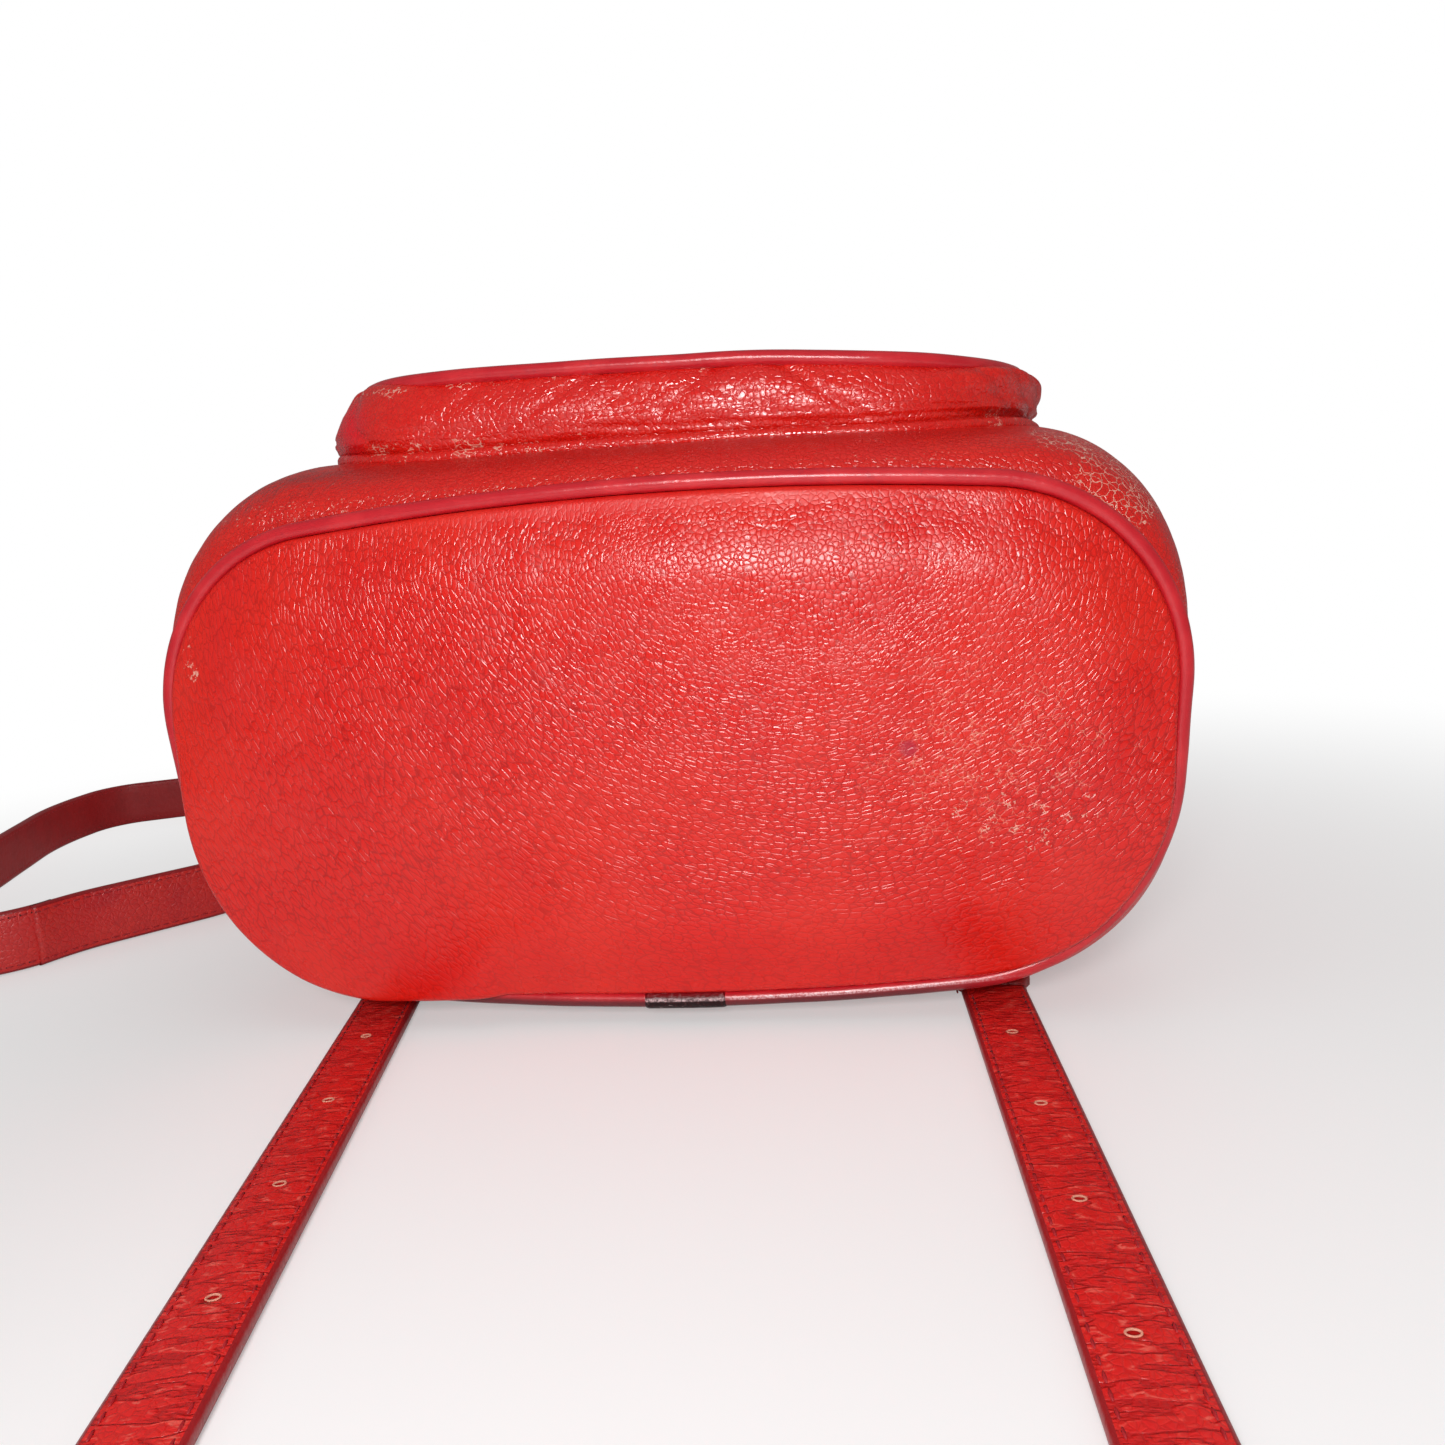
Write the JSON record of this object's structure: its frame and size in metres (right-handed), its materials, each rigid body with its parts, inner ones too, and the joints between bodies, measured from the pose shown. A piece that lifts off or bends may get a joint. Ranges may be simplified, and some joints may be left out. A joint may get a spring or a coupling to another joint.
{
  "type": "leather backpack",
  "caption": "Small red leather backpack lying on its back, with piped oval base, front pocket, mouth flap and buckled straps that turn at their roots.",
  "frame": {"origin": "centre of the base's flat outer face", "axes": "+Y from the base to the mouth, +Z out of the front with the pocket, +X to the right seen from the base"},
  "size_m": [0.512, 0.6014, 0.1803],
  "materials": {
    "base_leather": "pebbled, semi-gloss, worn",
    "body_leather": "pebbled, semi-gloss, creased",
    "pocket_leather": "smoother, cracked",
    "piping_leather": "smooth, semi-gloss",
    "sleeve": "smooth, gloss",
    "strap_leather": "pebbled, stitched",
    "lining": "plain weave",
    "fibreboard": "matte",
    "metal": "satin"
  },
  "bodies": {
    "bag": {"base_panel": "base_leather", "base_board": "fibreboard", "base_piping": "piping_leather", "piping_sleeve": "sleeve", "body_front": "body_leather", "back_panel": "body_leather", "body_lining": "lining", "mouth_binding": "piping_leather", "body_magnet": "metal", "pocket_gusset": "pocket_leather", "pocket_front": "pocket_leather", "pocket_piping": "piping_leather", "pocket_magnet": "metal", "strap_anchor": "strap_leather", "tongue_tab_left": "strap_leather", "tongue_tab_right": "strap_leather"},
    "flap": {"main_flap": "body_leather", "main_flap_lining": "lining"},
    "pocket_cover": {"pocket_flap": "pocket_leather"},
    "handle": {"top_handle": "strap_leather"},
    "tongue_left": {"strap_tongue_left": "strap_leather"},
    "tongue_right": {"strap_tongue_right": "strap_leather"},
    "strap_left": {"shoulder_strap_left": "strap_leather", "fixed_keeper_left": "strap_leather"},
    "buckle_left": {"buckle_frame_left": "metal"},
    "prong_left": {"buckle_prong_left": "metal"},
    "keeper_left": {"sliding_keeper_left": "strap_leather"},
    "strap_right": {"shoulder_strap_right": "strap_leather", "fixed_keeper_right": "strap_leather"},
    "buckle_right": {"buckle_frame_right": "metal"},
    "prong_right": {"buckle_prong_right": "metal"},
    "keeper_right": {"sliding_keeper_right": "strap_leather"}
  },
  "joints": [
    {"name": "main_flap_hinge", "type": "hinge", "parent": "bag", "child": "flap", "pos_m": [0, 0.2806, -0.066], "axis": [-1, 0, 0], "range_deg": [0, 85]},
    {"name": "pocket_flap_hinge", "type": "hinge", "parent": "bag", "child": "pocket_cover", "pos_m": [0.00502, 0.1528, 0.07399], "axis": [-0.9997, 0, 0.0244], "range_deg": [0, 80]},
    {"name": "handle_hinge", "type": "hinge", "parent": "bag", "child": "handle", "pos_m": [0, 0.2641, -0.072], "axis": [-1, 0, 0], "range_deg": [0, 90]},
    {"name": "tongue_left_hinge", "type": "hinge", "parent": "bag", "child": "tongue_left", "pos_m": [-0.0855, 0.016, -0.072], "axis": [0.9816, 0.1908, 0], "range_deg": [0, 90]},
    {"name": "tongue_right_hinge", "type": "hinge", "parent": "bag", "child": "tongue_right", "pos_m": [0.0855, 0.016, -0.072], "axis": [0.999, 0.0436, 0], "range_deg": [0, 90]},
    {"name": "strap_left_hinge", "type": "hinge", "parent": "bag", "child": "strap_left", "pos_m": [-0.045, 0.2641, -0.072], "axis": [-1, 0, 0], "range_deg": [0, 90]},
    {"name": "buckle_left_hinge", "type": "hinge", "parent": "strap_left", "child": "buckle_left", "pos_m": [-0.16, 0.207, -0.0611], "axis": [0, 0, 1], "range_deg": [-45, 45]},
    {"name": "prong_left_hinge", "type": "hinge", "parent": "buckle_left", "child": "prong_left", "pos_m": [-0.16, 0.207, -0.0611], "axis": [0, 0, -1], "range_deg": [0, 110]},
    {"name": "keeper_left_slide", "type": "slide", "parent": "strap_left", "child": "keeper_left", "axis": [0, 1, 0], "range_m": [-0.008, 0.012]},
    {"name": "strap_right_hinge", "type": "hinge", "parent": "bag", "child": "strap_right", "pos_m": [0.045, 0.2641, -0.072], "axis": [-1, 0, 0], "range_deg": [0, 90]},
    {"name": "buckle_right_hinge", "type": "hinge", "parent": "strap_right", "child": "buckle_right", "pos_m": [-0.168, 0.366, -0.0611], "axis": [0, 0, -1], "range_deg": [-45, 45]},
    {"name": "prong_right_hinge", "type": "hinge", "parent": "buckle_right", "child": "prong_right", "pos_m": [-0.168, 0.366, -0.0611], "axis": [0, 0, 1], "range_deg": [0, 110]},
    {"name": "keeper_right_slide", "type": "slide", "parent": "strap_right", "child": "keeper_right", "axis": [1, 0, 0], "range_m": [-0.008, 0.012]}
  ]
}
